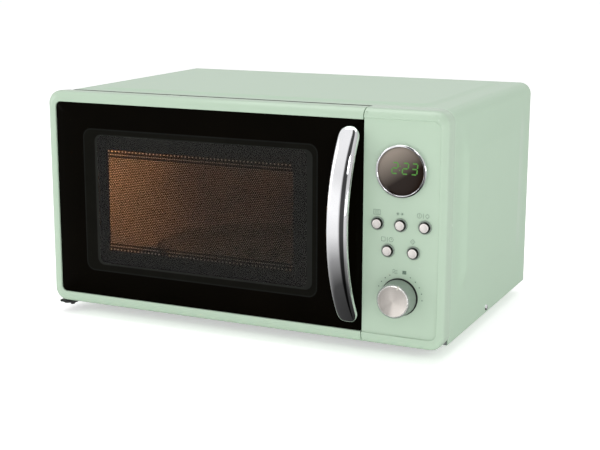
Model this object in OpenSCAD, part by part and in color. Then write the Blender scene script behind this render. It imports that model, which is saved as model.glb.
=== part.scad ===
/* [Case] */
// Width of the case
body_w = 452; // [450:0.5:454]
// Height of the case without its feet
body_h = 234; // [233:0.5:236]
// Depth from the door glass to the back edge of the cover
body_d = 308; // [308:1:330]
// Height of the feet below the case
foot_h = 14; // [10:1:20]
// Thickness of the steel sheets
sheet = 1; // [0.8:0.1:1.2]
// How far the steel wrap lies inside the sides of the moulded front
wrap_in = 2.4; // [2:0.1:2.8]
// How far the top of the steel wrap lies below the moulded front
wrap_top = 1.6; // [1.2:0.1:2]
// Corner radius of the case seen from the front
corner_r = 14; // [12:0.5:15]
// Wall of the moulded door frame and control panel
wall = 3; // [2.5:0.1:3]

/* [Door and handle] */
// How far the frame stands in front of the glass
lip = 1.5; // [0.5:0.1:2]
// Thickness of the door glass
glass_t = 3; // [2.5:0.1:3]
// Width of the handle
handle_w = 22; // [20:1:24]
// How far the middle of the handle stands in front of the glass
handle_reach = 38; // [34:1:38]
// Upward travel of the latch
latch_travel = 4; // [2:0.5:4]

/* [Controls] */
// Radius of the display lens
lens_r = 23.2; // [22:0.1:23.4]
// Radius of a push button
button_r = 5; // [4.5:0.1:5]
// Travel of a push button
button_travel = 1.2; // [0.8:0.1:1.2]
// Radius of the knob at its face
knob_r = 16.5; // [15:0.5:17]
// How far the knob stands out
knob_h = 18; // [15:0.5:20]

/* [Turntable] */
// Diameter of the glass turntable plate
plate_d = 245; // [220:1:255]
// Radius of the rollers
roller_r = 7; // [6:0.5:7]
// Distance of the rollers from the turntable's axis
roller_track = 88; // [80:1:95]

/* [Hidden] */
$fn = 64;

// Colours
mint = [0.71, 0.81, 0.72];
steel = [0.72, 0.73, 0.74];
chrome_c = [0.86, 0.86, 0.88];
black_c = [0.05, 0.05, 0.05];
cream = [0.87, 0.85, 0.78];
copper = [0.72, 0.42, 0.24];

// The working frame: x across from the middle, y back from the front of the glass, z up from the case
spacer_d = 12;
glass_y = -(body_d + spacer_d - handle_reach) / 2;
half_w = body_w / 2;
wrap_half = half_w - wrap_in;
eps = 0.5;

// Door
door_right = 142.4;
door_back = 25;
glass_x0 = -213.7;
glass_z0 = 12.4;
glass_z1 = 223;
ledge_y = 5;
hinge_x = -216;
hinge_y = 12;
hinge_pin_r = 3;
running = 0.05;
handle_x = 130;
handle_z = [30, 205];
latch_x = 126.5;
latch_z = [60, 168];
latch_top = 180;

// Control panel
panel_x = 143.4;
front_plate_y = 26;
display_x = 182.2;
display_z = 175.7;
button_at = [[158.7, 123.1], [182.3, 123.1], [206.8, 123.1], [169.7, 97], [195.7, 97]];
knob_x = 182.2;
knob_z = 51.8;
board_y = 12;

// Cavity
cav_x0 = -196;
cav_x1 = 104;
cav_z0 = 22;
cav_z1 = 220;
cav_y0 = front_plate_y + 1.2;
cav_y1 = 298;
turn_x = (cav_x0 + cav_x1) / 2;
turn_y = 163;
floor_gap = 0.2;
roller_z = cav_z0 + floor_gap + roller_r;
plate_z = roller_z + roller_r + floor_gap;

// Back and fan
rear_y = body_d - 2;
fan_x = 166;
fan_z = 120;
fan_r = 44;
side_screw_y = 154.7;
side_screw_z = 6.8;
lamp_y = 84;

module at_face() {
  translate([0, glass_y, foot_h]) children();
}

// A rounded rectangle from two corners
module rr(x0, z0, x1, z1, r) {
  translate([x0 + r, z0]) square([x1 - x0 - 2 * r, z1 - z0]);
  translate([x0, z0 + r]) square([x1 - x0, z1 - z0 - 2 * r]);
  for (x = [x0 + r, x1 - r], z = [z0 + r, z1 - r]) translate([x, z]) circle(r);
}

// A front-view outline made solid from y0 to y1
module slab(y0, y1) {
  translate([0, y1, 0]) rotate([90, 0, 0]) linear_extrude(y1 - y0) children();
}

module box(x0, x1, y0, y1, z0, z1) {
  translate([x0, y0, z0]) cube([x1 - x0, y1 - y0, z1 - z0]);
}

module rod_x(x0, x1, y, z, r) {
  translate([x0, y, z]) rotate([0, 90, 0]) cylinder(h = x1 - x0, r = r);
}

module rod_y(x, z, y0, y1, r) {
  translate([x, y0, z]) rotate([-90, 0, 0]) cylinder(h = y1 - y0, r = r);
}

module rod_z(x, y, z0, z1, r) {
  translate([x, y, z0]) cylinder(h = z1 - z0, r = r);
}

// The moulded front block, rounded at the front edges, the corners and the far vertical edge
module front_block(x0, x1, back_y, back_r) {
  edge_r = 10;
  intersection() {
    slab(-lip, back_y) rr(-half_w, 0, half_w, body_h, corner_r);
    translate([x0, 0, 0]) rotate([90, 0, 90]) linear_extrude(x1 - x0) {
      translate([edge_r - lip, 0]) square([back_y - edge_r + lip, body_h]);
      translate([-lip, edge_r]) square([edge_r, body_h - 2 * edge_r]);
      for (z = [edge_r, body_h - edge_r]) translate([edge_r - lip, z]) circle(edge_r);
    }
    linear_extrude(body_h) {
      translate([-half_w, edge_r - lip]) square([body_w, back_y - back_r - edge_r + lip]);
      translate([edge_r - half_w, -lip]) square([body_w - 2 * edge_r, edge_r]);
      translate([back_r - half_w, back_y - back_r]) square([body_w - back_r, back_r]);
      for (s = [-1, 1]) translate([s * (half_w - edge_r), edge_r - lip]) circle(edge_r);
      translate([back_r - half_w, back_y - back_r]) circle(back_r);
    }
  }
}

// Case

// Front view of the steel wrap: round at the top corners, square at the bottom
module case_outline(inset) {
  rr(inset - wrap_half, inset, wrap_half - inset, body_h - wrap_top - inset, corner_r - inset);
  translate([inset - wrap_half, inset]) square([2 * (wrap_half - inset), body_h / 2]);
}

// A stamped panel: a flat-topped block with sloping borders, standing height above the xy plane
module stamp(x0, x1, y0, y1, slope, height) {
  more = slope / height / 2;
  low = [[x0 - more, y0 - more], [x1 + more, y0 - more], [x1 + more, y1 + more], [x0 - more, y1 + more]];
  high = [[x0 + slope, y0 + slope], [x1 - slope, y0 + slope], [x1 - slope, y1 - slope],
          [x0 + slope, y1 - slope]];
  polyhedron(concat([for (p = low) [p[0], p[1], -1 / 2]], [for (p = high) [p[0], p[1], height]]),
    [[0, 1, 2, 3], [7, 6, 5, 4], [4, 5, 1, 0], [5, 6, 2, 1], [6, 7, 3, 2], [7, 4, 0, 3]]);
}

// The stamped panels of both sides and the top, lowered by drop
module stamps(drop) {
  for (s = [0, 1]) mirror([s, 0, 0]) translate([wrap_half - drop, 0, 0]) rotate([90, 0, 90])
    stamp(46, 288, 36, 214, 28, wrap_in);
  translate([0, 0, body_h - wrap_top - drop]) stamp(-200, 196, 46, 294, 9, wrap_top);
}

module outer_cover() color(mint) at_face() difference() {
  union() {
    slab(front_plate_y, body_d) case_outline(0);
    stamps(0);
  }
  slab(front_plate_y - 1, body_d - sheet) case_outline(sheet);
  stamps(sheet);
  slab(body_d - 2 * sheet, body_d + 1) rr(14 - half_w, 14, half_w - 14, body_h - 14, 6);
  box(20 - half_w, half_w - 20, front_plate_y - 1, body_d + 1, -1, sheet + eps);
  for (p = rear_screws()) rod_y(p[0], p[1], body_d - 3, body_d + 1, 1.8);
  rod_x(-half_w, half_w, side_screw_y, side_screw_z, 1.8);
}

function rear_screws() = [for (x = [5 - wrap_half, wrap_half - 5], z = [60, 180]) [x, z],
                          for (x = [-120, 0, 120]) [x, body_h - wrap_top - 5]];

module base_plate() color(steel) at_face() difference() {
  union() {
    box(sheet - wrap_half, wrap_half - sheet, cav_y0, rear_y, sheet, 2 * sheet);
    box(sheet - wrap_half, 2 * sheet - wrap_half, cav_y0, rear_y, sheet, 14);
    box(wrap_half - 2 * sheet, wrap_half - sheet, cav_y0, rear_y, sheet, 14);
  }
  for (i = [0:9]) box(120, 200, 95 + i * 8, 98 + i * 8, 0, 2 * sheet + 1);
  rod_x(-half_w, half_w, side_screw_y, side_screw_z, 1.6);
}

module rear_panel() color(steel) at_face() difference() {
  slab(rear_y, body_d - sheet) case_outline(sheet);
  for (i = [-5:5]) vent_slot(fan_x + i * 7, fan_z, sqrt(pow(fan_r - 4, 2) - pow(i * 7, 2)));
  for (i = [0:11]) vent_slot(-150 + i * 8, 190, 14);
  for (p = rear_screws()) rod_y(p[0], p[1], rear_y - 1, body_d, 1.8);
  rod_y(195, 32, rear_y - 1, body_d, 8);
}

// One upright slot in the back, centred on x and z
module vent_slot(x, z, half) {
  box(x - 1.75, x + 1.75, rear_y - 1, body_d + 1, z - half, z + half);
}

module front_plate() color(steel) at_face() difference() {
  slab(front_plate_y, cav_y0) case_outline(sheet);
  box(cav_x0, cav_x1, front_plate_y - 1, cav_y0 + 1, cav_z0, cav_z1);
  for (z = latch_z) latch_slot(z, front_plate_y - 1, cav_y0 + 1);
  box(160, 205, front_plate_y - 1, cav_y0 + 1, 70, 150);
  box(hinge_x - 6, hinge_x + 6, front_plate_y - 1, cav_y0 + 1, 222.5, 227.5);
}

// The opening a latch hook passes through
module latch_slot(z, y0, y1) {
  box(latch_x - 3.5, latch_x + 6, y0, y1, z - 8.4, z + latch_travel + 4.9);
}

module oven_cavity() color([0.78, 0.77, 0.72]) at_face() difference() {
  box(cav_x0 - sheet, cav_x1 + sheet, cav_y0, cav_y1 + sheet, cav_z0 - sheet, cav_z1 + sheet);
  box(cav_x0, cav_x1, cav_y0 - 1, cav_y1, cav_z0, cav_z1);
  rod_z(turn_x, turn_y, cav_z0 - 3, cav_z0 + 1, 10);
  box(cav_x1 - 1, cav_x1 + 3, 107, 153, 156, 206);
  for (i = [0:4]) box(cav_x1 - 1, cav_x1 + 3, lamp_y - 15 + i * 6, lamp_y - 12 + i * 6, 178, 206);
  for (i = [0:8]) box(-150 + i * 8, -146.5 + i * 8, cav_y1 - 1, cav_y1 + 3, 180, 200);
}

module feet() color(black_c) at_face() for (x = [-180, 180], y = [70, 280]) {
  translate([x, y, -foot_h]) cylinder(h = foot_h + sheet, r1 = 10, r2 = 13);
}

module rear_spacers() color(black_c) at_face() for (x = [-150, 150]) {
  difference() {
    union() {
      rod_y(x, 40, body_d - sheet, body_d + spacer_d, 11);
      rod_y(x, 40, body_d - sheet, body_d + 1, 15);
    }
    rod_y(x, 40, body_d + 4, body_d + spacer_d + 1, 8);
  }
}

module screw_y(x, z, head_y) {
  rod_y(x, z, head_y - 6, head_y, 1.6);
  rod_y(x, z, head_y, head_y + 1.8, 3.5);
}

module cover_screws() color(chrome_c) at_face() {
  for (p = rear_screws()) screw_y(p[0], p[1], body_d);
  for (s = [0, 1]) mirror([s, 0, 0]) {
    rod_x(wrap_half - 8, wrap_half, side_screw_y, side_screw_z, 1.6);
    rod_x(wrap_half, wrap_half + 1.8, side_screw_y, side_screw_z, 3.2);
  }
}

module cord_gland() color(black_c) at_face() difference() {
  union() {
    rod_y(195, 32, rear_y - 4, body_d + 7, 7.9);
    rod_y(195, 32, body_d - sheet, body_d + 3, 11);
  }
  rod_y(195, 32, rear_y - 5, body_d + 8, 3.6);
}

// Door

module door_frame() color(mint) at_face() difference() {
  front_block(-half_w, door_right, door_back, 10);
  difference() {
    slab(ledge_y, door_back + 1) {
      rr(wall - half_w, wall, door_right - 20, body_h - wall, corner_r - wall);
      translate([door_right - 40, wall]) square([40 - wall, body_h - 2 * wall]);
    }
    rod_z(hinge_x, hinge_y, 0, 8, 6);
    rod_z(hinge_x, hinge_y, 227, body_h, 6);
    for (z = handle_z) rod_y(handle_x, z, ledge_y - 1, 8, 6);
    box(latch_x - 5, latch_x + 5, ledge_y - 1, 20, 199.1, 200.8);
  }
  slab(-lip - 1, glass_t) {
    rr(glass_x0, glass_z0, door_right - 10, glass_z1, 6);
    translate([door_right - 20, glass_z0]) square([30, glass_z1 - glass_z0]);
  }
  slab(glass_t - 1, ledge_y + 1) rr(-186, 34, 101, 202, 10);
  for (z = handle_z) rod_y(handle_x, z, 0, 9, 2.2);
  rod_z(hinge_x, hinge_y, -1, 6.5, hinge_pin_r + running);
  rod_z(hinge_x, hinge_y, 226, 231, hinge_pin_r + running);
  // room for the upper hinge arm as the door turns about it
  box(-half_w - 1, hinge_x + 7, 4.5, door_back + 1, 222.5, 227);
}

module door_glass() color([0.03, 0.03, 0.03]) at_face() difference() {
  slab(0, glass_t) {
    rr(glass_x0, glass_z0, door_right - 10, glass_z1, 6);
    translate([door_right - 20, glass_z0]) square([20, glass_z1 - glass_z0]);
  }
  for (z = handle_z) rod_y(handle_x, z, -1, glass_t + 1, 2.2);
}

module door_screen() color(steel) at_face() difference() {
  slab(12, 21.5) rr(-206, 14, 116, 226, 6);
  slab(12.8, 22) rr(-205.2, 14.8, 115.2, 225.2, 5.2);
  box(-170, -166, 11, 14, 60, 180);
}

module door_film() color([0.8, 0.82, 0.84]) at_face() slab(12.8, 13.3) rr(-164, 46, 84, 190, 6);

module choke_cover() color([0.3, 0.3, 0.3]) at_face() difference() {
  slab(22.5, door_back) rr(-209, 6, door_right - wall, 228, 5);
  slab(22, door_back + 1) rr(-186, 32, 94, 208, 10);
  for (z = latch_z) latch_slot(z, 22, door_back + 1);
}

module door_handle() color(chrome_c) at_face() difference() {
  bow = 35;
  half = 101;
  outer_r = (half * half + bow * bow) / (2 * bow);
  bar_t = 9;
  mid_z = 118.5;
  intersection() {
    union() {
      translate([handle_x, outer_r - handle_reach, mid_z]) rotate([0, 90, 0]) rotate([0, 0, 228])
        rotate_extrude(angle = 84) rr(outer_r - bar_t, -handle_w / 2, outer_r, handle_w / 2, 3.5);
      for (z = handle_z) box(handle_x - 9, handle_x + 9, -7, 0, z - 6, z + 6);
    }
    slab(-handle_reach - 1, 0)
      rr(handle_x - handle_w / 2, mid_z - half, handle_x + handle_w / 2, mid_z + half, handle_w / 2 - 1);
  }
  for (z = handle_z) rod_y(handle_x, z, -7, 1, 2);
}

module handle_screws() color(steel) at_face() for (z = handle_z) {
  rod_y(handle_x, z, -7, 8, 2);
  rod_y(handle_x, z, 8, 10.5, 4);
}

module door_latch() color(cream) at_face() {
  box(latch_x - 7, latch_x + 7, 14, 18, 48, latch_top);
  for (z = latch_z) {
    box(latch_x - 2, latch_x + 2, 14, 42, z - 4, z + 4);
    box(latch_x - 2, latch_x + 2, 36, 42, z - 8, z + 4);
  }
}

// The latch spring: one wire swept round a helix
function helix_point(t) = [3 * cos(t * 360 * 6), 3 * sin(t * 360 * 6), t * (199 - latch_top - 1)];
function helix_dir(t) = [-sin(t * 360 * 6), cos(t * 360 * 6), 0];

module latch_spring() color(steel) at_face() translate([latch_x, 16, latch_top + 0.5]) {
  rings = 72;
  sides = 6;
  wire = 0.45;
  points = [for (i = [0:rings]) let (t = i / rings, c = helix_point(t), d = helix_dir(t))
    for (k = [0:sides - 1]) let (a = k * 360 / sides)
      c + wire * cos(a) * [d[1], -d[0], 0] + wire * sin(a) * [0, 0, 1]];
  sides_faces = [for (i = [0:rings - 1], k = [0:sides - 1]) let (n = (k + 1) % sides)
    [i * sides + k, i * sides + n, (i + 1) * sides + n, (i + 1) * sides + k]];
  ends = [[for (k = [0:sides - 1]) sides - 1 - k], [for (k = [0:sides - 1]) rings * sides + k]];
  polyhedron(points, concat(sides_faces, ends));
}

module hinge_upper() color(steel) at_face() {
  box(hinge_x - 3, hinge_x + 4, hinge_y, 36, 224, 226);
  rod_z(hinge_x, hinge_y, 224, 226, 4);
  rod_z(hinge_x, hinge_y, 226, 230.5, hinge_pin_r);
  box(hinge_x - 3, hinge_x + 8, cav_y0, cav_y0 + 1.5, 200, 226);
}

module hinge_lower() color(black_c) at_face() {
  box(hinge_x - 6, hinge_x + 12, 6, 45, -3.2, -1);
  box(hinge_x + 4, hinge_x + 12, 28, 45, -1.5, 0);
  rod_z(hinge_x, hinge_y, -4.6, -1, 4.2);
  rod_z(hinge_x, hinge_y, -2, 6, hinge_pin_r);
  rod_z(hinge_x + 9, 8.5, -4.4, -3, 2.4);
}

// Control panel

module control_panel() color(mint) at_face() difference() {
  union() {
    difference() {
      front_block(panel_x, half_w, front_plate_y, 10);
      slab(wall, front_plate_y + 1) {
        rr(panel_x + 20, wall, half_w - wall, body_h - wall, corner_r - wall);
        translate([panel_x + wall, wall]) square([40, body_h - 2 * wall]);
      }
    }
    for (x = [152, 217], z = [32, 204]) rod_y(x, z, wall - 1, board_y, 3);
  }
  slab(-lip - 1, 0) {
    rr(panel_x + 20, 12, half_w - 5.5, glass_z1 + 1.9, 8);
    translate([panel_x - 1, 12]) square([40, glass_z1 + 1.9 - 12]);
  }
  rod_y(display_x, display_z, -2, wall + 1, lens_r + 1);
  for (p = button_at) rod_y(p[0], p[1], -2, wall + 1, button_r + 1.1);
  rod_y(knob_x, knob_z, -2, wall + 1, 4.6);
}

module display_ring() color(chrome_c) at_face() translate([display_x, 0, display_z]) rotate([90, 0, 0])
  rotate_extrude() {
    translate([lens_r, -6]) square([0.8, 8]);
    translate([lens_r, 0]) square([2.6, 2.4]);
    translate([lens_r + 1.3, 2.3]) circle(1.3);
  }

module display_lens() color([0.08, 0.05, 0.04]) at_face()
  rod_y(display_x, display_z, -2.4, 0.8, lens_r);

module display_module() color([0.1, 0.1, 0.1]) at_face()
  box(display_x - 19, display_x + 19, 1.2, board_y, display_z - 11, display_z + 11);

// A push button: its front is part of a ball, and a flange behind the panel stops it falling out
module push_button(i) color(chrome_c) at_face() translate([button_at[i][0], 0, button_at[i][1]]) {
  cap_r = 6.8;
  intersection() {
    rod_y(0, 0, -4.6, 6, button_r);
    translate([0, cap_r - 4.6, 0]) sphere(cap_r);
  }
  rod_y(0, 0, -2, 6, button_r);
  rod_y(0, 0, wall + 0.2, wall + 1.4, button_r + 1.4);
  rod_y(0, 0, 6, 8.2, 2);
}

module button_1() push_button(0);
module button_2() push_button(1);
module button_3() push_button(2);
module button_4() push_button(3);
module button_5() push_button(4);

module button_collars() color(chrome_c) at_face() for (p = button_at) difference() {
  union() {
    rod_y(p[0], p[1], -1.6, 0, button_r + 1.7);
    rod_y(p[0], p[1], -1, wall, button_r + 1);
  }
  rod_y(p[0], p[1], -3, wall + 1, button_r + 0.3);
}

module control_board() color([0.1, 0.35, 0.2]) at_face() {
  box(149, 220, board_y, board_y + 1.6, 28, 208);
  box(154, 178, board_y + 1.6, board_y + 13, 150, 172);
  box(186, 204, board_y + 1.6, board_y + 9, 152, 170);
  for (z = [60, 80, 132]) rod_y(205, z, board_y + 1.6, board_y + 11, 5);
}

module tact_switches() color(black_c) at_face() for (p = button_at) {
  box(p[0] - 3, p[0] + 3, 10.2, board_y, p[1] - 3, p[1] + 3);
  rod_y(p[0], p[1], 8.3 + button_travel, 10.5, 1.7);
}

module timer_encoder() color(steel) at_face() difference() {
  union() {
    box(knob_x - 6.5, knob_x + 6.5, 5, board_y, knob_z - 6.5, knob_z + 6.5);
    rod_y(knob_x, knob_z, 0, 6, 4.4);
  }
  rod_y(knob_x, knob_z, -1, 10, 3 + running);
}

module encoder_shaft() color(chrome_c) at_face() rod_y(knob_x, knob_z, -14, 9.8, 3);

module knob_base_ring() color(black_c) at_face() difference() {
  rod_y(knob_x, knob_z, -1.2, 0, knob_r + 2.3);
  rod_y(knob_x, knob_z, -2, 1, 8);
}

module timer_knob() color([0.62, 0.64, 0.6]) at_face() difference() {
  translate([knob_x, -1.5, knob_z]) rotate([90, 0, 0])
    cylinder(h = knob_h - 1.5, r1 = knob_r + 1.3, r2 = knob_r);
  rod_y(knob_x, knob_z, -14, 0, 3);
  rod_y(knob_x, knob_z, -4, 0, 10);
}

module knob_cap() color(chrome_c) at_face() rod_y(knob_x, knob_z, -knob_h - 1.2, -knob_h, knob_r - 0.8);

// Turntable

module turntable_motor() color(cream) at_face() {
  rod_z(turn_x, turn_y, 4, cav_z0 - sheet - 1.5, 24);
  rod_z(turn_x, turn_y, 2 * sheet, 5, 10);
  rod_z(turn_x, turn_y, cav_z0 - sheet - 2, cav_z0 + 2, 3);
}

module turntable_coupler() color(cream) at_face() difference() {
  union() {
    rod_z(turn_x, turn_y, cav_z0 + 0.4, plate_z - 0.4, 8);
    for (a = [0, 120, 240]) translate([turn_x, turn_y, cav_z0 + 6]) rotate([0, 0, a])
      translate([0, -2.5, 0]) cube([12, 5, plate_z - cav_z0 - 6.4]);
  }
  rod_z(turn_x, turn_y, cav_z0 - 1, cav_z0 + 3, 3 + running);
}

// Section of the plate: a flat glass disc with a raised rim and a hub ring that drops round the coupler
module turntable_plate() color([0.8, 0.85, 0.86]) at_face() translate([turn_x, turn_y, plate_z])
  rotate_extrude($fn = 96) {
    square([plate_d / 2 - 10, 4.5]);
    polygon([[plate_d / 2 - 11, 0], [plate_d / 2 - 7, 0], [plate_d / 2, 8.5], [plate_d / 2, 10],
             [plate_d / 2 - 3, 10], [plate_d / 2 - 11, 4.5]]);
    translate([14, -6]) square([4, 7]);
  }

module roller_ring() color([0.85, 0.84, 0.8]) at_face() translate([turn_x, turn_y, roller_z]) {
  difference() {
    cylinder(h = 5, r = roller_track - 9, center = true);
    cylinder(h = 6, r = roller_track - 15, center = true);
  }
  for (a = [90, 210, 330]) rotate([0, 0, a]) rotate([0, 90, 0]) {
    translate([0, 0, roller_track - 10]) cylinder(h = 16, r = 2);
    translate([0, 0, roller_track + 4.5]) cylinder(h = 1.5, r = 3);
  }
}

module roller(a) color([0.9, 0.89, 0.85]) at_face() translate([turn_x, turn_y, roller_z]) rotate([0, 0, a])
  translate([roller_track - 4, 0, 0]) rotate([0, 90, 0]) difference() {
    cylinder(h = 8, r = roller_r);
    translate([0, 0, -1]) cylinder(h = 10, r = 2 + running);
  }

module roller_1() roller(90);
module roller_2() roller(210);
module roller_3() roller(330);

// Power and air

module waveguide() color(steel) at_face() difference() {
  box(cav_x1 + sheet, 128, 98, 202, 150, 214);
  box(cav_x1 - 1, 127, 99, 201, 151, 213);
  rod_x(126, 129, 175, 182, 9);
}

module waveguide_cover() color([0.75, 0.7, 0.6]) at_face()
  box(cav_x1 - 0.8, cav_x1, 103, 157, 152, 210);

module magnetron() color(steel) at_face() {
  difference() {
    box(128, 194, 140, 210, 148, 216);
    box(132, 190, 139, 211, 152, 212);
  }
  rod_x(131, 191, 175, 182, 17);
  for (i = [0:6]) box(138 + i * 7, 139 + i * 7, 141, 209, 151, 213);
  rod_x(113, 133, 175, 182, 8);
  box(194, 206, 160, 190, 168, 196);
}

module transformer() color([0.35, 0.33, 0.32]) at_face() {
  difference() {
    box(124, 214, 68, 148, 2 * sheet, 72);
    for (x = [140, 184]) box(x, x + 14, 67, 149, 18, 56);
  }
  box(118, 220, 60, 156, 2 * sheet, 3.4);
  color(copper) difference() {
    box(140, 198, 60, 156, 20, 54);
    box(154, 184, 59, 157, 19, 55);
  }
}

module capacitor() color(steel) at_face() {
  rod_y(136, 22, 170, 262, 16);
  rod_y(136, 22, 262, 268, 4);
  box(118, 154, 200, 214, 2 * sheet, 8);
}

module hv_diode() color(black_c) at_face() {
  rod_y(176, 8, 176, 204, 5);
  box(170, 182, 204, 216, 2 * sheet, 10);
}

module fan_shroud() color([0.2, 0.2, 0.2]) at_face() difference() {
  box(fan_x - 52, fan_x + 52, 282, rear_y, fan_z - 50, fan_z + 50);
  rod_y(fan_x, fan_z, 281, rear_y + 1, fan_r + 3);
}

module fan_motor() color(steel) at_face() difference() {
  union() {
    box(fan_x - 30, fan_x + 30, 246, 262, fan_z - 26, fan_z + 26);
    box(fan_x - 52, fan_x + 52, 276, 278, fan_z - 8, fan_z + 8);
    for (s = [-1, 1]) box(fan_x + s * 48 - 4, fan_x + s * 48 + 4, 276, 282, fan_z - 8, fan_z + 8);
    for (s = [-1, 1]) rod_y(fan_x + s * 24, fan_z, 261, 277, 3);
    rod_y(fan_x, fan_z, 240, 274, 11);
  }
  rod_y(fan_x, fan_z, 239, 279, 2.5 + running);
}

module fan_blade() color([0.15, 0.15, 0.15]) at_face() {
  rod_y(fan_x, fan_z, 244, 300, 2.5);
  rod_y(fan_x, fan_z, 285, 301, 11);
  for (i = [0:6]) translate([fan_x, 293, fan_z]) rotate([0, i * 360 / 7, 0])
    translate([fan_r / 2 + 2, 0, 0]) rotate([28, 0, 0]) cube([fan_r - 4, 1.6, 22], center = true);
}

module air_duct() color([0.25, 0.25, 0.25]) at_face() difference() {
  box(126, 214, 214, 236, 92, 216);
  box(128, 212, 213, 237, 94, 214);
}

module oven_lamp() color([0.95, 0.85, 0.6]) at_face() {
  rod_x(cav_x1 + 3, cav_x1 + 22, lamp_y, 192, 9);
  rod_x(cav_x1 + 22, cav_x1 + 34, lamp_y, 192, 7);
  box(cav_x1 + 32, cav_x1 + 36, lamp_y - 13, lamp_y + 13, 178, 206);
  box(cav_x1 + sheet, cav_x1 + 34, lamp_y - 13.5, lamp_y - 11.5, 179, 205);
}

module noise_filter() color([0.1, 0.3, 0.18]) at_face() {
  box(130, 210, 244, rear_y, 190, 191.6);
  box(140, 160, 252, 272, 191.6, 208);
  rod_z(186, 270, 191.6, 206, 11);
}

module thermal_cutout() color([0.75, 0.7, 0.65]) at_face() {
  rod_z(20, 150, cav_z1 + sheet, cav_z1 + 7, 8);
  box(8, 32, 146, 154, cav_z1 + sheet, cav_z1 + 2);
}

// Door safety

module interlock_bracket() color(cream) at_face() difference() {
  union() {
    box(112, 141, cav_y0, cav_y0 + 2.5, 38, 205);
    for (x = [113, 137]) box(x, x + 3, cav_y0, 62, 150, 196);
    for (x = [113, 137]) box(x, x + 3, cav_y0, 62, 44, 78);
    rod_x(113, 140, 50, 157, 2);
  }
  for (z = latch_z) latch_slot(z, cav_y0 - 1, cav_y0 + 4);
}

module microswitches() color(black_c) at_face() {
  box(116, 137, 56, 70, 172, 196);
  rod_y(latch_x, 176, 51, 57, 1.5);
  box(116, 137, 48, 62, 44, 70);
  rod_y(latch_x, 60, 44, 49, 1.5);
}

module interlock_lever() color([0.9, 0.4, 0.2]) at_face() difference() {
  union() {
    rod_x(118, 135, 50, 157, 4);
    box(121, 132, 44, 47, 157, 182);
    box(121, 132, 44, 52, 157, 160);
  }
  rod_x(117, 136, 50, 157, 2 + running);
}

outer_cover();
base_plate();
rear_panel();
front_plate();
oven_cavity();
feet();
rear_spacers();
cover_screws();
cord_gland();
door_frame();
door_glass();
door_screen();
door_film();
choke_cover();
door_handle();
handle_screws();
door_latch();
latch_spring();
hinge_upper();
hinge_lower();
control_panel();
display_ring();
display_lens();
display_module();
button_1();
button_2();
button_3();
button_4();
button_5();
button_collars();
control_board();
tact_switches();
timer_encoder();
encoder_shaft();
knob_base_ring();
timer_knob();
knob_cap();
turntable_motor();
turntable_coupler();
turntable_plate();
roller_ring();
roller_1();
roller_2();
roller_3();
magnetron();
waveguide();
waveguide_cover();
transformer();
capacitor();
hv_diode();
fan_motor();
fan_blade();
fan_shroud();
air_duct();
oven_lamp();
noise_filter();
thermal_cutout();
interlock_bracket();
microswitches();
interlock_lever();
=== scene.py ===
import math

import bmesh
import bpy
from mathutils import Matrix, Vector


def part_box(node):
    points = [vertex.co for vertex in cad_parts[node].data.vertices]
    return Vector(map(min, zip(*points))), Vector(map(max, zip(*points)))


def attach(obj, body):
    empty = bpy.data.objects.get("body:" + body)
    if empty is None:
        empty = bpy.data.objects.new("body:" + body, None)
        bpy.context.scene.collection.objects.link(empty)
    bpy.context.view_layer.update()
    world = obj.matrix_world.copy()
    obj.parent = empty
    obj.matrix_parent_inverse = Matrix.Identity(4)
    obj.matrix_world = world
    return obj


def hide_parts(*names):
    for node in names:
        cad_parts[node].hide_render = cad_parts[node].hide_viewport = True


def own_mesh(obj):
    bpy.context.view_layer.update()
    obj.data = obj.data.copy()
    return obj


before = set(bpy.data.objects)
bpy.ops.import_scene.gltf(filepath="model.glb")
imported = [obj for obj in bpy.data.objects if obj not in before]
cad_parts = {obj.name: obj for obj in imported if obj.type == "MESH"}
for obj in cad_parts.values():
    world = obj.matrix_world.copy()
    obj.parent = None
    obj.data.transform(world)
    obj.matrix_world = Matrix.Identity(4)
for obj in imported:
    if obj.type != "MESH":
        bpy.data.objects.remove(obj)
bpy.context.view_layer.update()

# ---------------------------------------------------------------- where things are
# Distances below are millimetres from the middle of the case, the front of the door glass and the
# bottom of the case. at() turns them into the shared frame.
MM = 0.001
FACE_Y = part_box("door_glass")[0].y
CASE_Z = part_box("door_frame")[0].z


def at(x, y, z):
    return Vector((x * MM, FACE_Y + y * MM, CASE_Z + z * MM))


def spot(node):
    """Middle of a CAD node in millimetres, as at() takes it."""
    lo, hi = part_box(node)
    c = (lo + hi) / 2
    return c.x / MM, (c.y - FACE_Y) / MM, (c.z - CASE_Z) / MM


def span(node):
    """Lowest and highest corner of a CAD node in millimetres, as at() takes them."""
    lo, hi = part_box(node)
    return (lo.x / MM, (lo.y - FACE_Y) / MM, (lo.z - CASE_Z) / MM), (
        hi.x / MM, (hi.y - FACE_Y) / MM, (hi.z - CASE_Z) / MM)


def radius_of(node):
    """Half the width of a CAD node in millimetres."""
    lo, hi = span(node)
    return (hi[0] - lo[0]) / 2


FRAME_LO, FRAME_HI = span("door_frame")
GLASS_LO, GLASS_HI = span("door_glass")
COVER_LO, COVER_HI = span("outer_cover")
HALF_W = -FRAME_LO[0]
CASE_H = FRAME_HI[2]
CORNER_R = 14  # corners of the case, seen from the front
EDGE_R = 10  # rolled edge of the moulded front
FRONT = FRAME_LO[1]

# ---------------------------------------------------------------- materials


def socket(shader, name, value):
    shader.inputs[name].default_value = value


def node_of(nt, kind):
    """The first node of a kind in a node tree."""
    return next(n for n in nt.nodes if n.bl_idname == kind)


def linear(r, g, b):
    """Colour from 0 to 255 as it is seen, for a shader."""
    def one(v):
        v /= 255
        return v / 12.92 if v <= 0.04045 else ((v + 0.055) / 1.055) ** 2.4
    return one(r), one(g), one(b), 1


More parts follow.
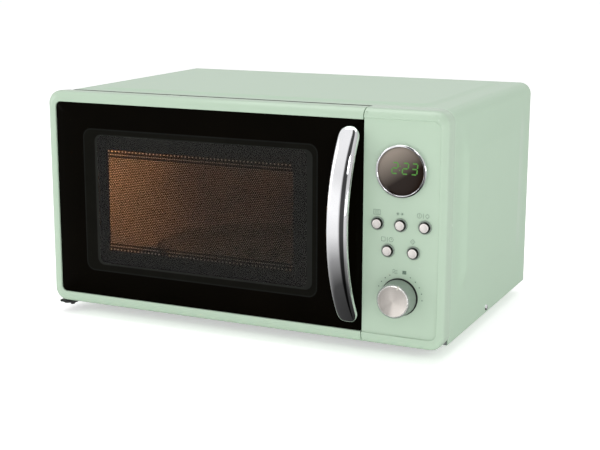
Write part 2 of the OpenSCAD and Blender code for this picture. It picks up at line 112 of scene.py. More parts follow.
def surface(name, dark, light, grain=300, rough=(0.3, 0.4), metallic=0.0, bump=0.05, bump_grain=900,
            stretch=(1, 1, 1), depth=0.0002, coat=0.0, specular=0.5, limits=(0.2, 0.8), extra=None):
    """A material whose colour, roughness and relief all vary a little over the surface.
    Grains are in turns a metre, depth is in metres, and limits are the noise values that give dark and light."""
    m = bpy.data.materials.new(name)
    m.use_nodes = True
    nt = m.node_tree
    nt.nodes.clear()
    out = nt.nodes.new("ShaderNodeOutputMaterial")
    sh = nt.nodes.new("ShaderNodeBsdfPrincipled")
    nt.links.new(sh.outputs[0], out.inputs[0])
    co = nt.nodes.new("ShaderNodeTexCoord")
    mp = nt.nodes.new("ShaderNodeMapping")
    mp.inputs["Scale"].default_value = stretch
    nt.links.new(co.outputs["Object"], mp.inputs["Vector"])

    def noise(scale, detail=3.0):
        n = nt.nodes.new("ShaderNodeTexNoise")
        n.inputs["Scale"].default_value = scale
        n.inputs["Detail"].default_value = detail
        nt.links.new(mp.outputs[0], n.inputs["Vector"])
        return n

    broad = noise(grain)
    ramp = nt.nodes.new("ShaderNodeValToRGB")
    ramp.color_ramp.elements[0].position = limits[0]
    ramp.color_ramp.elements[0].color = dark
    ramp.color_ramp.elements[1].position = limits[1]
    ramp.color_ramp.elements[1].color = light
    nt.links.new(broad.outputs["Fac"], ramp.inputs["Fac"])
    nt.links.new(ramp.outputs["Color"], sh.inputs["Base Color"])
    fine = noise(bump_grain, 2.0)
    spread = nt.nodes.new("ShaderNodeMapRange")
    spread.inputs["From Min"].default_value, spread.inputs["From Max"].default_value = limits
    spread.inputs["To Min"].default_value = rough[0]
    spread.inputs["To Max"].default_value = rough[1]
    nt.links.new(broad.outputs["Fac"], spread.inputs["Value"])
    nt.links.new(spread.outputs[0], sh.inputs["Roughness"])
    b = nt.nodes.new("ShaderNodeBump")
    b.inputs["Strength"].default_value = bump
    b.inputs["Distance"].default_value = depth
    nt.links.new(fine.outputs["Fac"], b.inputs["Height"])
    nt.links.new(b.outputs[0], sh.inputs["Normal"])
    socket(sh, "Metallic", metallic)
    socket(sh, "Specular IOR Level", specular)
    socket(sh, "Coat Weight", coat)
    socket(sh, "Coat Roughness", 0.08)
    if extra:
        extra(nt, sh)
    return m


M = {
    "case_paint": surface("case_paint", linear(183, 208, 184), linear(187, 211, 188), grain=40, rough=(0.3, 0.36),
                          bump=0.12, bump_grain=1400, depth=0.00005, coat=0.25, specular=0.4, limits=(0, 1)),
    "moulded_paint": surface("moulded_paint", linear(184, 206, 184), linear(187, 209, 187), grain=30,
                             rough=(0.26, 0.28), bump=0.03, bump_grain=700, depth=0.00003, coat=0.35, specular=0.4,
                             limits=(0, 1)),
    "bare_steel": surface("bare_steel", linear(150, 152, 154), linear(186, 188, 190), grain=90, rough=(0.28, 0.45),
                          metallic=0.9, bump=0.1, bump_grain=2500, depth=0.00003),
    "cavity_enamel": surface("cavity_enamel", linear(186, 180, 168), linear(200, 194, 182), grain=120,
                             rough=(0.35, 0.5), bump=0.15, bump_grain=1500, depth=0.00005),
    "chrome": surface("chrome", linear(244, 244, 246), linear(250, 250, 252), grain=60, rough=(0.04, 0.09),
                      metallic=1.0, bump=0.02, bump_grain=300, depth=0.00003),
    "satin_chrome": surface("satin_chrome", linear(248, 241, 236), linear(253, 248, 244), grain=500,
                            rough=(0.38, 0.46), metallic=0.45, bump=0.04, bump_grain=1500, depth=0.00002),
    # dark chrome on the curved back edge of the button domes: a painted dark reflection
    "chrome_painted_dark_reflection": surface("chrome_painted_dark_reflection", linear(46, 46, 44), linear(66, 65, 62), grain=300, rough=(0.18, 0.26),
                           metallic=0.9, bump=0.04, bump_grain=900, depth=0.00002),
    # the green in this satin grey is a painted reflection of the mint panel round the knob
    "satin_knob": surface("satin_knob", linear(140, 152, 142), linear(156, 168, 158), grain=500, rough=(0.36, 0.46),
                          metallic=0.35, bump=0.12, bump_grain=3000, depth=0.00003),
    "black_glass": surface("black_glass", linear(5, 4, 2), linear(8, 6, 3), grain=20, rough=(0.05, 0.09),
                           bump=0.01, bump_grain=60, depth=0.00002, specular=0.015),
    "black_plastic": surface("black_plastic", linear(20, 20, 20), linear(34, 34, 34), grain=250, rough=(0.38, 0.5),
                             bump=0.2, bump_grain=2500, depth=0.00006),
    "grey_plastic": surface("grey_plastic", linear(92, 94, 92), linear(106, 108, 106), grain=250, rough=(0.4, 0.52),
                            bump=0.2, bump_grain=2500, depth=0.00006),
    "rubber_black": surface("rubber_black", linear(24, 24, 24), linear(38, 37, 36), grain=400, rough=(0.6, 0.75),
                            bump=0.3, bump_grain=2000, depth=0.0001),
    "natural_nylon": surface("natural_nylon", linear(206, 202, 188), linear(222, 218, 206), grain=200,
                             rough=(0.38, 0.5), bump=0.12, bump_grain=1800, depth=0.00005),
    "board_green": surface("board_green", linear(24, 72, 40), linear(34, 96, 54), grain=700, rough=(0.3, 0.45),
                           bump=0.2, bump_grain=1500, depth=0.00008),
    "copper_winding": surface("copper_winding", linear(150, 82, 44), linear(196, 118, 68), grain=900,
                              rough=(0.25, 0.4), metallic=0.85, bump=0.5, bump_grain=900, depth=0.0003,
                              stretch=(0.15, 1, 1)),
    "mica": surface("mica", linear(150, 132, 104), linear(184, 168, 138), grain=350, rough=(0.3, 0.5), bump=0.2,
                    bump_grain=900, depth=0.00006),
    "lever_orange": surface("lever_orange", linear(206, 92, 34), linear(222, 108, 46), grain=250,
                            rough=(0.38, 0.5), bump=0.15, bump_grain=2000, depth=0.00005),
    "display_black": surface("display_black", linear(14, 14, 15), linear(24, 24, 26), grain=400, rough=(0.3, 0.4),
                             bump=0.1, bump_grain=2000, depth=0.00005),
    "screen_black": surface("screen_black", linear(30, 31, 28), linear(40, 41, 38), grain=150, rough=(0.5, 0.65),
                            bump=0.1, bump_grain=1500, depth=0.00004, specular=0.2),
    "window_border": surface("window_border", linear(31, 32, 30), linear(36, 37, 34), grain=60, rough=(0.08, 0.14),
                             bump=0.01, bump_grain=60, depth=0.00002, specular=0.03),
    "border_line": surface("border_line", linear(20, 21, 19), linear(25, 26, 24), grain=60, rough=(0.08, 0.14),
                           bump=0.01, bump_grain=60, depth=0.00002, specular=0.03),
    "border_dim": surface("border_dim", linear(15, 15, 12), linear(19, 19, 15), grain=60, rough=(0.08, 0.14),
                          bump=0.01, bump_grain=60, depth=0.00002, specular=0.02),
    # near-white, less metallic rim of the knob disc: a painted highlight on its chamfer
    "rim_painted_highlight": surface("rim_painted_highlight", linear(250, 247, 243), linear(254, 252, 249), grain=500, rough=(0.24, 0.3),
                          metallic=0.55, bump=0.03, bump_grain=1500, depth=0.00002),
    "print_grey": surface("print_grey", linear(78, 104, 88), linear(92, 118, 101), grain=900,
                          rough=(0.45, 0.6), bump=0.05, bump_grain=2000, depth=0.00002),
}


def see_through(name, tint, roughness, tint2, specular=0.3):
    """Clear glass or film with faint smears."""
    def glass(nt, sh):
        socket(sh, "Transmission Weight", 1.0)
        socket(sh, "IOR", 1.2)
    return surface(name, tint, tint2, grain=12, rough=roughness, bump=0.01, bump_grain=40, depth=0.00002,
                   specular=specular, extra=glass)


M["clear_glass"] = see_through("clear_glass", linear(226, 236, 234), (0.02, 0.05), linear(234, 242, 240))
M["clear_film"] = see_through("clear_film", linear(228, 228, 226), (0.06, 0.12), linear(238, 238, 236))
M["window_glass"] = see_through("window_glass", linear(188, 186, 180), (0.0, 0.02), linear(194, 192, 186), 0.1)
M["lamp_glass"] = see_through("lamp_glass", linear(238, 236, 224), (0.02, 0.05), linear(244, 242, 232))


def lit(nt, sh):
    """The digits glow faintly in their own colour."""
    nt.links.new(node_of(nt, "ShaderNodeValToRGB").outputs["Color"], sh.inputs["Emission Color"])
    socket(sh, "Emission Strength", 0.2)


M["digit_green"] = surface("digit_green", linear(62, 124, 40), linear(80, 146, 54), grain=800, bump=0.02, extra=lit)


def turned(centre):
    """Fine rings about the line along y through centre, as a lathe leaves them, and highlights along the rays."""
    def rings(nt, sh):
        where = nt.nodes.new("ShaderNodeVectorMath")
        where.operation = "SUBTRACT"
        where.inputs[1].default_value = centre
        nt.links.new(node_of(nt, "ShaderNodeTexCoord").outputs["Object"], where.inputs[0])
        flat = nt.nodes.new("ShaderNodeVectorMath")
        flat.operation = "MULTIPLY"
        flat.inputs[1].default_value = (1, 0, 1)
        nt.links.new(where.outputs[0], flat.inputs[0])
        radius = nt.nodes.new("ShaderNodeVectorMath")
        radius.operation = "LENGTH"
        nt.links.new(flat.outputs[0], radius.inputs[0])
        line = nt.nodes.new("ShaderNodeTexNoise")
        line.noise_dimensions = "1D"
        line.inputs["Scale"].default_value = 2600
        line.inputs["Detail"].default_value = 2
        nt.links.new(radius.outputs["Value"], line.inputs["W"])
        nt.links.new(line.outputs["Fac"], node_of(nt, "ShaderNodeValToRGB").inputs["Fac"])
        nt.links.new(line.outputs["Fac"], node_of(nt, "ShaderNodeBump").inputs["Height"])
        socket(sh, "Anisotropic", 0.9)
        spoke = nt.nodes.new("ShaderNodeVectorMath")
        spoke.operation = "NORMALIZE"
        nt.links.new(flat.outputs[0], spoke.inputs[0])
        world_way = nt.nodes.new("ShaderNodeVectorTransform")
        world_way.vector_type = "VECTOR"
        world_way.convert_from = "OBJECT"
        world_way.convert_to = "WORLD"
        nt.links.new(spoke.outputs[0], world_way.inputs[0])
        nt.links.new(world_way.outputs[0], sh.inputs["Tangent"])
    return rings


CAP = spot("knob_cap")
M["brushed_face"] = surface("brushed_face", linear(236, 228, 220), linear(252, 246, 239), rough=(0.27, 0.33),
                            metallic=0.85, bump=0.06, depth=0.00002, extra=turned(at(*CAP)))

# ---------------------------------------------------------------- mesh tools


def finish_mesh(name, bm, material, body, smooth=40, weighted=True):
    """Makes a piece of the mesh: edges sharper than smooth degrees stay sharp, and it rides on body."""
    bmesh.ops.remove_doubles(bm, verts=bm.verts, dist=1e-7)
    bmesh.ops.recalc_face_normals(bm, faces=bm.faces)
    mesh = bpy.data.meshes.new(name)
    bm.to_mesh(mesh)
    bm.free()
    mesh.polygons.foreach_set("use_smooth", [True] * len(mesh.polygons))
    mesh.set_sharp_from_angle(angle=math.radians(smooth))
    obj = bpy.data.objects.new(name, mesh)
    bpy.context.scene.collection.objects.link(obj)
    for mat in material if isinstance(material, list) else [material]:
        mesh.materials.append(mat)
    if weighted:
        w = obj.modifiers.new("normals", "WEIGHTED_NORMAL")
        w.keep_sharp = True
    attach(obj, body)
    return obj


def ring_points(n):
    """Cosine and sine at n even steps round a circle."""
    return [(math.cos(2 * math.pi * i / n), math.sin(2 * math.pi * i / n)) for i in range(n)]


def skin(bm, rings, closed=True, caps=False):
    """Joins rings of the same number of points with faces. caps closes both ends."""
    rows = [[bm.verts.new(p) for p in ring] for ring in rings]
    n = len(rows[0])
    for a, b in zip(rows, rows[1:]):
        for i in range(n if closed else n - 1):
            j = (i + 1) % n
            bm.faces.new((a[i], a[j], b[j], b[i]))
    if caps:
        bm.faces.new(rows[0])
        bm.faces.new(rows[-1][::-1])
    return rows


def turned_solid(bm, centre, profile, sides, material=0):
    """A solid turned about the line along y through centre. The profile is (radius, y) in millimetres."""
    cx, cz = centre
    rows = []
    for r, y in profile:
        if r <= 0:
            rows.append([bm.verts.new(at(cx, y, cz))] * sides)
        else:
            rows.append([bm.verts.new(at(cx + r * c, y, cz + r * s)) for c, s in ring_points(sides)])
    for a, b in zip(rows, rows[1:]):
        for i in range(sides):
            j = (i + 1) % sides
            face = list(dict.fromkeys((a[i], a[j], b[j], b[i])))
            if len(face) > 2:
                bm.faces.new(face).material_index = material


def fillet(x0, y0, x1, y1, steps, first="x"):
    """Points of a quarter round from one point to the other. first says which way it leaves."""
    pts = []
    for i in range(steps + 1):
        a = math.pi / 2 * i / steps
        s, c = math.sin(a), 1 - math.cos(a)
        pts.append((x0 + (x1 - x0) * (s if first == "x" else c), y0 + (y1 - y0) * (c if first == "x" else s)))
    return pts


def rounded(x0, z0, x1, z1, radii):
    """Outline of a rounded rectangle, from the bottom left corner. radii is one radius, or one for each corner."""
    pts = []
    steps = 10
    radii = radii if isinstance(radii, tuple) else (radii,) * 4
    corners = [((x0, z0), (1, 1), 180), ((x1, z0), (-1, 1), 270), ((x1, z1), (-1, -1), 0), ((x0, z1), (1, -1), 90)]
    for ((x, z), (sx, sz), start), r in zip(corners, radii):
        for i in range(steps + 1):
            a = math.radians(start + 90 * i / steps)
            pts.append((x + sx * r + r * math.cos(a), z + sz * r + r * math.sin(a)))
    return pts


def bar(bm, x0, x1, y0, y1, z0, z1, edge=0.4):
    """A block with small bevels on all its edges."""
    result = bmesh.ops.create_cube(bm, size=1)
    lo, hi = at(x0, y0, z0), at(x1, y1, z1)
    for v in result["verts"]:
        v.co = Vector(((lo + hi) / 2)[i] + v.co[i] * (hi - lo)[i] for i in range(3))
    edges = list({e for v in result["verts"] for e in v.link_edges})
    bmesh.ops.bevel(bm, geom=edges, offset=edge * MM, segments=2, affect="EDGES")


# ---------------------------------------------------------------- the moulded front: door frame and control panel


def c_outline(end_x, side, x_edge, bottom, top, r):
    """Points round three sides of a front-view outline, from the top end, round the side, to the bottom end.
    side is -1 for an outline that is round on the left and +1 for the right."""
    steps = 12
    cx = x_edge - side * r
    pts = [(end_x, top), ((end_x + cx) / 2, top)]
    for i in range(steps + 1):
        a = math.radians(90 - 90 * i / steps)
        pts.append((cx + side * r * math.cos(a), top - r + r * math.sin(a)))
    pts.append((x_edge, (top + bottom) / 2))
    for i in range(steps + 1):
        a = math.radians(90 * i / steps)
        pts.append((cx + side * r * math.cos(a), bottom + r - r * math.sin(a)))
    pts += [((end_x + cx) / 2, bottom), (end_x, bottom)]
    return pts


def front_shape(bm, end_x, side, recess, floor_y, back_y, chamfer):
    """The rolled front edge between the outline of the case and a recess, as one closed section swept round.
    recess is its side edge, bottom, top and corner radius, and floor_y is the depth of its floor."""
    outer = c_outline(end_x, side, side * HALF_W, 0, CASE_H, CORNER_R)
    inner = c_outline(end_x, side, *recess)
    thick, lip, steps = 3, 6, 8
    stations = []
    middle = len(outer) // 2
    for k, ((ox, oz), (gx, gz)) in enumerate(zip(outer, inner)):
        if k < 2 or k > len(outer) - 3:
            gx = ox
        elif k == middle:
            gz = oz
        gap = math.hypot(gx - ox, gz - oz)
        ux, uz = (gx - ox) / gap, (gz - oz) / gap

        def roll(d):
            return FRONT + EDGE_R - math.sqrt(EDGE_R**2 - (EDGE_R - min(d, EDGE_R)) ** 2)

        drop = floor_y - roll(gap)
        f = min(0.9, drop * 0.45)
        section = [(chamfer / 2, back_y - 1), (0, FRONT + EDGE_R + 4), (0, FRONT + EDGE_R)]
        last = gap - f
        full = math.acos(max(0, (EDGE_R - min(last, EDGE_R)) / EDGE_R))
        for i in range(1, steps + 1):
            d = EDGE_R * (1 - math.cos(full * i / steps))
            section.append((d, roll(d)))
        y1 = roll(last)
        section += fillet(last, y1, gap, y1 + f, 4)
        section += fillet(gap, floor_y - f, gap + f, floor_y, 4, first="y")
        section.append((gap + lip, floor_y))
        inner_edge = len(section) - 1
        section += [(gap + lip, floor_y + 2), (thick, floor_y + 2), (thick, back_y), (chamfer, back_y)]
        stations.append([at(ox + ux * d, y, oz + uz * d) for d, y in section])
    rows = skin(bm, stations, caps=True)
    return [row[inner_edge] for row in rows]


# Door frame, with the flange that the glass lies on
bm = bmesh.new()
door_right = FRAME_HI[0]
GLASS_SEAT, DOOR_BACK = 3, 25
front_shape(bm, door_right, -1, (GLASS_LO[0], GLASS_LO[2], GLASS_HI[2], 6), GLASS_SEAT, DOOR_BACK, 1.8)
flange = (GLASS_SEAT + 0.2, GLASS_SEAT + 1.8)
bar(bm, door_right - 3, door_right, flange[0], DOOR_BACK, 3, CASE_H - 3)
plate = rounded(GLASS_LO[0] + 5, GLASS_LO[2] + 5, door_right - 1, GLASS_HI[2] - 5, (4, 1, 1, 4))
hole = rounded(-186, 34, 101, 202, 10)
skin(bm, [[at(x, flange[k], z) for x, z in pts] for pts, k in
          ((plate, 0), (plate, 1), (hole, 1), (hole, 0), (plate, 0))])
door_frame = finish_mesh("door_frame_look", bm, M["moulded_paint"], "door")
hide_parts("door_frame")

# Control panel
bm = bmesh.new()
panel_left = span("control_panel")[0][0]
PANEL_RECESS, PANEL_BACK = (220.5, 12, 224.9, 8), 26
bm.faces.new(front_shape(bm, panel_left, 1, PANEL_RECESS, 0, PANEL_BACK, 0.4))
bar(bm, panel_left, panel_left + 3, 0.05, PANEL_BACK, 3, CASE_H - 3, edge=0.3)
panel = finish_mesh("control_panel_look", bm, M["moulded_paint"], "housing")
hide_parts("control_panel")

# ---------------------------------------------------------------- the steel wrap


def stamp_height(a, b, box, radius, slope, height):
    """Height of a stamped panel at a point: nothing outside its outline, full past the sloping border."""
    a0, b0, a1, b1 = box
    ca, cb = (a0 + a1) / 2, (b0 + b1) / 2
    da, db = abs(a - ca) - (a1 - a0) / 2 + radius, abs(b - cb) - (b1 - b0) / 2 + radius
    inside = radius - math.hypot(max(da, 0), max(db, 0)) - min(max(da, db), 0)
    t = min(max(inside / slope, 0), 1)
    return height * t * t * (1.6 - 0.6 * t)


RIM_SIDE, RIM_TOP = 2.4, 1.6  # how far the wrap lies inside the moulded front
SIDE_STAMP, TOP_STAMP = (46, 36, 288, 214), (-200, 46, 196, 294)  # lowest and highest corner of each panel
DIMPLE_Y, DIMPLE_Z, DIMPLE_R, DIMPLE_DEPTH = 98.8, 30.3, 5, 0.8  # on the right side only
SHEET, FOLD = 0.8, 13  # thickness of the steel, and width of the fold round the back
STEPS, CORNER_STEPS, DEPTH_STEPS = 80, 12, 110
# half of the outline, from the fold under the case to the middle of the top: x, z, kind and outward direction
wrap = [(HALF_W - 20 + i * 4.2, 0.3, "bottom", 0, -1) for i in range(5)]
wrap += [(HALF_W, 1.2 + (CASE_H - CORNER_R - 1.2) * i / STEPS, "side", 1, 0) for i in range(STEPS + 1)]
for i in range(1, CORNER_STEPS):
    a = math.radians(90 * i / CORNER_STEPS)
    wrap.append((HALF_W - CORNER_R + CORNER_R * math.cos(a), CASE_H - CORNER_R + CORNER_R * math.sin(a), "corner",
                 math.cos(a), math.sin(a)))
wrap += [((HALF_W - CORNER_R) * (1 - i / STEPS), CASE_H, "top", 0, 1) for i in range(STEPS + 1)]
mirror = [(-x, z, kind, -nx, nz) for x, z, kind, nx, nz in wrap[:-1]]
wrap = wrap + mirror[::-1]
COVER_Y0, COVER_Y1 = COVER_LO[1], COVER_HI[1]
ys = [COVER_Y0 + 1.4 + (COVER_Y1 - COVER_Y0 - 2.6) * i / DEPTH_STEPS for i in range(DEPTH_STEPS + 1)]
rings = []
for y, inset in [(COVER_Y0 + 0.9, 0.3)] + [(y, 0) for y in ys] + [
        (COVER_Y1 - 0.4, 0.3), (COVER_Y1, 1.2), (COVER_Y1, FOLD)]:
    ring = []
    for x, z, kind, nx, nz in wrap:
        h = -min(inset, 1.2) if kind == "bottom" else -inset
        if kind == "side":
            h += stamp_height(y, z, SIDE_STAMP, 28, 28, RIM_SIDE) - RIM_SIDE
            if x > 0:
                h -= DIMPLE_DEPTH * max(0, 1 - math.hypot(y - DIMPLE_Y, z - DIMPLE_Z) / DIMPLE_R)
        elif kind == "top":
            h += stamp_height(x, y, TOP_STAMP, 22, 9, RIM_TOP) - RIM_TOP
        elif kind == "corner":
            h -= RIM_SIDE * abs(nx) + RIM_TOP * (1 - abs(nx))
        ring.append(at(x + nx * h, y, max(z + nz * h, 0.2)))
    rings.append(ring)
bm = bmesh.new()
skin(bm, rings, closed=False)
cover = finish_mesh("outer_cover_look", bm, M["case_paint"], "housing", smooth=50, weighted=False)
sheet = cover.modifiers.new("sheet", "SOLIDIFY")
sheet.thickness = SHEET * MM
sheet.offset = -1
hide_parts("outer_cover")

# A black strip on the body behind the top edge of the door: painted shade, standing in for the shadow in the seam
# there
bm = bmesh.new()
bar(bm, -207, door_right - 1, COVER_Y0 - 0.6, COVER_Y0 + 0.7, CASE_H - 3.4, CASE_H - 0.7, edge=0.2)
finish_mesh("seam_painted_shade_strip", bm, M["rubber_black"], "housing", weighted=False)

# ---------------------------------------------------------------- door glass, with its printed borders
gx0, gx1, gz0, gz1 = GLASS_LO[0] + 0.15, GLASS_HI[0] - 0.1, GLASS_LO[2] + 0.15, GLASS_HI[2] - 0.15


def glass_outline(inset):
    radii = tuple(max(r - inset, 0.2) for r in (5.8, 1.2, 1.2, 5.8))
    return rounded(gx0 + inset, gz0 + inset, gx1 - inset, gz1 - inset, radii)


LINE_OUT = rounded(-180, 40, 95, 196, 10)
LINE_IN = rounded(-178.6, 41.4, 93.6, 194.6, 8.6)
INNER = rounded(-165.5, 47.5, 89.3, 190, 8)
PANE = rounded(-162, 50, 83, 189, 7)
BACK = 2.9
# outline, depth and the material of the faces between this row and the next, from the back, round the edge,
# to the pane
layers = [
    (PANE, BACK, 0), (glass_outline(6), BACK, 0), (glass_outline(0.5), BACK, 0), (glass_outline(0), BACK - 0.5, 0),
    (glass_outline(0), 0.5, 0), (glass_outline(0.15), 0.15, 0), (glass_outline(0.5), 0, 0),
    (LINE_OUT, 0, 1), (LINE_IN, 0, 2), (INNER, 0, 3), (PANE, 0, 0),
]
bm = bmesh.new()
rows = [[bm.verts.new(at(x, y, z)) for x, z in pts] for pts, y, _ in layers]
for a, b, (_, _, material) in zip(rows, rows[1:], layers):
    for i in range(len(a)):
        j = (i + 1) % len(a)
        bm.faces.new((a[i], a[j], b[j], b[i])).material_index = material
glass = finish_mesh("door_glass_look", bm,
                    [M["black_glass"], M["border_line"], M["border_dim"], M["window_border"]],
                    "door", weighted=False)
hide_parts("door_glass")
bm = bmesh.new()
skin(bm, [[at(x, y, z) for x, z in PANE] for y in (0.02, BACK)], caps=True)
finish_mesh("door_window_pane", bm, M["window_glass"], "door", weighted=False)

# ---------------------------------------------------------------- perforated screen
HOLES = (-156.6, 62, 64.4, 173)  # left, bottom, right and top of the field of holes
PITCH, HOLE_R, SPARSE_HOLE_R = 2.15, 0.6, 0.85
SCREEN_Y, PAN_BACK = 12, 21.4
bm = bmesh.new()
row_step = PITCH * math.sqrt(3) / 2
rows_n = int((HOLES[3] - HOLES[1]) / row_step)
cols_n = int((HOLES[2] - HOLES[0]) / PITCH)
cell_r = PITCH / math.sqrt(3)
corner_cache = {}


def corner(x, z):
    """The corner that neighbouring cells of the honeycomb share."""
    key = (round(x, 3), round(z, 3))
    if key not in corner_cache:
        corner_cache[key] = bm.verts.new(at(x, SCREEN_Y, z))
    return corner_cache[key]


# the outermost rows of holes stand apart, with every second hole left out and the rest larger
for r in range(-1, rows_n + 1):
    z = HOLES[1] + (r + 0.5) * row_step
    for col in range(-1, cols_n + 1):
        x = HOLES[0] + (col + 0.5 + 0.5 * (r % 2)) * PITCH
        sparse = r in (0, rows_n - 1)
        skip = r in (-1, 1, 3, rows_n - 4, rows_n - 2, rows_n) or col in (-1, cols_n) or sparse and col % 2
        outer = [corner(x + cell_r * s, z + cell_r * c) for c, s in ring_points(6)]
        if skip:
            bm.faces.new(outer)
            continue
        hole_r = SPARSE_HOLE_R if sparse else HOLE_R
        inner = [bm.verts.new(at(x + hole_r * s, SCREEN_Y, z + hole_r * c)) for c, s in ring_points(6)]
        for k in range(6):
            bm.faces.new((outer[k], outer[(k + 1) % 6], inner[(k + 1) % 6], inner[k]))
edge_pts = rounded(HOLES[0] - 0.4, HOLES[1] - 0.8, HOLES[0] + (cols_n + 0.7) * PITCH,
                   HOLES[1] + rows_n * row_step + 0.8, 0.5)
PAN_LO, PAN_HI = span("door_screen")
pan = [rounded(PAN_LO[0] + i, PAN_LO[2] + i, PAN_HI[0] - i, PAN_HI[2] - i, 6 - i) for i in (0, 1)]
front = SCREEN_Y - 0.02
skin(bm, [[at(x, PAN_BACK, z) for x, z in pan[0]], [at(x, SCREEN_Y + 1, z) for x, z in pan[0]],
          [at(x, front, z) for x, z in pan[1]], [at(x, front, z) for x, z in edge_pts]])
screen = finish_mesh("door_screen_look", bm, M["screen_black"], "door", weighted=False)
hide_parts("door_screen")

# ---------------------------------------------------------------- handle
HANDLE_LO, HANDLE_HI = span("door_handle")
hx = (HANDLE_LO[0] + HANDLE_HI[0]) / 2
half_w = (HANDLE_HI[0] - HANDLE_LO[0]) / 2
half_h = (HANDLE_HI[2] - HANDLE_LO[2]) / 2
mid_z = (HANDLE_LO[2] + HANDLE_HI[2]) / 2
BOW = 35  # how far the middle of the arc stands out from its ends
arc_r = (half_h**2 + BOW**2) / (2 * BOW)
front_h, back_h = 5.2, 3.6  # from the middle line of the bar to its front and its back
mid_r = arc_r - front_h - 0.1
POWER = 2 / 2.8  # the section is between an ellipse and a box
bm = bmesh.new()
rings = []
N = 90
for i in range(N + 1):
    t = -1 + 2 * i / N
    t = math.copysign(1 - (1 - abs(t)) ** 1.6, t)  # closer together near the round ends
    z = mid_z + t * half_h * 0.9995
    e = half_h - abs(z - mid_z)
    k = 1 if e > half_w else max(math.sqrt(1 - ((half_w - e) / half_w) ** 2), 0.02)
    depth_k = min(1, k + 0.15)
    a = math.asin((z - mid_z) / arc_r)
    my, mz = HANDLE_LO[1] + arc_r - mid_r * math.cos(a), mid_z + mid_r * math.sin(a)
    ring = []
    for cs, sn in ring_points(32):
        w = math.copysign(abs(cs) ** POWER, cs) * half_w * k
        h = math.copysign(abs(sn) ** POWER, sn) * (front_h if sn > 0 else back_h) * depth_k
        ring.append(at(hx + w, min(my - h * math.cos(a), -0.1), mz + h * math.sin(a)))
    rings.append(ring)
skin(bm, rings, caps=True)
for post_z in (30, 205):  # the posts that the handle stands on
    post = [rounded(hx - 8 + i, post_z - 5.5 + i, hx + 8 - i, post_z + 5.5 - i, 4.5 - i) for i in (0, 0, 0.6)]
    skin(bm, [[at(x, y, z) for x, z in ring] for ring, y in zip(post, (-6.5, -0.8, -0.2))], caps=True)
handle = finish_mesh("door_handle_look", bm, M["chrome"], "door", smooth=60, weighted=False)
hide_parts("door_handle")

# ---------------------------------------------------------------- display
dx, _, dz = spot("display_lens")
ring_front = span("display_ring")[0][1]
r_out, r_in = radius_of("display_ring"), radius_of("display_lens")
bm = bmesh.new()
turned_solid(bm, (dx, dz), [(r_in - 0.2, 1.5), (r_in - 0.2, -1.6), (r_in, -2.6)]
             + fillet(r_in, -2.6, r_in + 0.5, ring_front + 0.1, 4, first="y")
             + fillet(r_in + 0.6, ring_front, r_out, -2.0, 7) + [(r_out, -0.05), (r_in - 0.2, 0.2)], 96)
ring_piece = finish_mesh("display_ring_look", bm, M["chrome"], "housing", smooth=35)
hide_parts("display_ring")


# Way across the lens along which the painted reflection brightens
REFLECTION_WAY = Vector((-0.55, 0, 0.84))


def painted_reflection(nt, sh):
    """The lens, of dark smoky glass, has a painted reflection: its colour pales to a warm grey towards its upper
    left edge.
    """
    along = nt.nodes.new("ShaderNodeVectorMath")
    along.operation = "DOT_PRODUCT"
    along.inputs[1].default_value = REFLECTION_WAY
    nt.links.new(node_of(nt, "ShaderNodeTexCoord").outputs["Object"], along.inputs[0])
    centre = REFLECTION_WAY.dot(at(dx, 0, dz))
    share = nt.nodes.new("ShaderNodeMapRange")
    share.inputs["From Min"].default_value = centre - 0.007
    share.inputs["From Max"].default_value = centre + 0.028
    nt.links.new(along.outputs["Value"], share.inputs["Value"])
    mix = nt.nodes.new("ShaderNodeMix")
    mix.data_type = "RGBA"
    nt.links.new(share.outputs[0], mix.inputs[0])
    nt.links.new(node_of(nt, "ShaderNodeValToRGB").outputs["Color"], mix.inputs[6])
    # the warm grey of the painted reflection
    mix.inputs[7].default_value = linear(168, 156, 144)
    nt.links.new(mix.outputs[2], sh.inputs["Base Color"])


M["lens_smoke"] = surface("lens_smoke", linear(28, 18, 12), linear(36, 24, 17), grain=25, rough=(0.12, 0.18),
                          bump=0.01, bump_grain=80, depth=0.00002, specular=0.25, extra=painted_reflection)
LENS_EDGE_Y, LENS_BULGE, LENS_R = -1.5, 0.85, r_in * 0.985
bm = bmesh.new()
bulge = [(LENS_R * math.cos(math.radians(a)), LENS_EDGE_Y - LENS_BULGE * math.sin(math.radians(a)))
         for a in range(0, 90, 9)]
turned_solid(bm, (dx, dz), [(0, 0.5), (r_in - 0.25, 0.5), (r_in - 0.25, LENS_EDGE_Y)] + bulge
             + [(0, LENS_EDGE_Y - LENS_BULGE)], 96)
lens = finish_mesh("display_lens_look", bm, M["lens_smoke"], "housing", smooth=35, weighted=False)
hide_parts("display_lens")

# Seven-segment digits: the ends of each bar, in shares of a digit's width and height
SEGMENTS = {"a": ((0, 1), (1, 1)), "b": ((1, 1), (1, 0.5)), "c": ((1, 0.5), (1, 0)), "d": ((0, 0), (1, 0)),
            "e": ((0, 0.5), (0, 0)), "g": ((0, 0.5), (1, 0.5))}
DIGIT_W, DIGIT_H, SLANT, BAR_W, BAR_GAP, DOT = 5.5, 10.4, 0.1, 1.25, 0.35, 0.9
digit_z = dz - 2.2
bm = bmesh.new()


